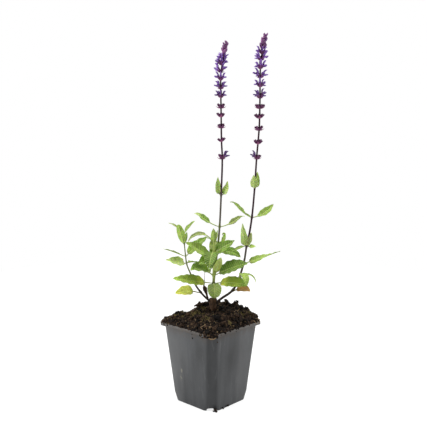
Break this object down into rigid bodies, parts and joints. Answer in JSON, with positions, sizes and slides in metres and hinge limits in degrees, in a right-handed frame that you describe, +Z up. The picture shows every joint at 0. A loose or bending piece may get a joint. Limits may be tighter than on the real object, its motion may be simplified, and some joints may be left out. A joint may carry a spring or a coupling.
{
  "type": "perennial salvia in a nursery pot",
  "caption": "Young perennial salvia with upright violet flower spikes and opposite toothed leaves, growing in soil in a square plastic nursery pot.",
  "frame": {"origin": "middle of the pot's flat underside, on the surface that it stands on", "axes": "+Z up, +X and +Y square to two neighbouring sides of the pot"},
  "size_m": [0.1033, 0.1018, 0.4218],
  "materials": {
    "pot_plastic": "thin moulded grey plastic, satin, scuffed and smeared with soil",
    "soil": "moist crumbly peat compost with fibres and moss",
    "bark": "rough dry bark",
    "flower_spike": "downy dark purple stem and calyces with violet flowers",
    "green_stem": "downy olive green stem",
    "leaf_green": "matt wrinkled leaf with a pale network of veins",
    "leaf_yellow": "matt yellowing leaf",
    "leaf_dead": "dry brown leaf"
  },
  "bodies": {
    "root": {"pot": "pot_plastic", "soil": "soil", "crown": "bark", "dead_shoot": "bark", "flower_stem_left": "flower_spike", "flower_stem_right": "flower_spike", "side_shoot": "green_stem", "main_shoot": "green_stem", "left_flower_leaves_1": "leaf_green", "left_flower_leaves_2": "leaf_green", "left_flower_leaves_3": "leaf_green", "right_flower_leaves_1": "leaf_green", "right_flower_leaves_2": "leaf_green", "right_flower_leaves_3": "leaf_green", "right_flower_leaves_4": "leaf_green", "right_flower_leaves_5": "leaf_green", "dead_leaf": "leaf_dead", "side_leaves_1": "leaf_green", "side_leaves_2": "leaf_green", "side_leaves_3": "leaf_green", "side_leaves_4": "leaf_green", "yellow_leaf": "leaf_yellow", "main_leaves_1": "leaf_green", "main_leaves_2": "leaf_green", "main_leaves_3": "leaf_green", "main_leaves_4": "leaf_green", "main_leaves_5": "leaf_green"}
  },
  "joints": []
}
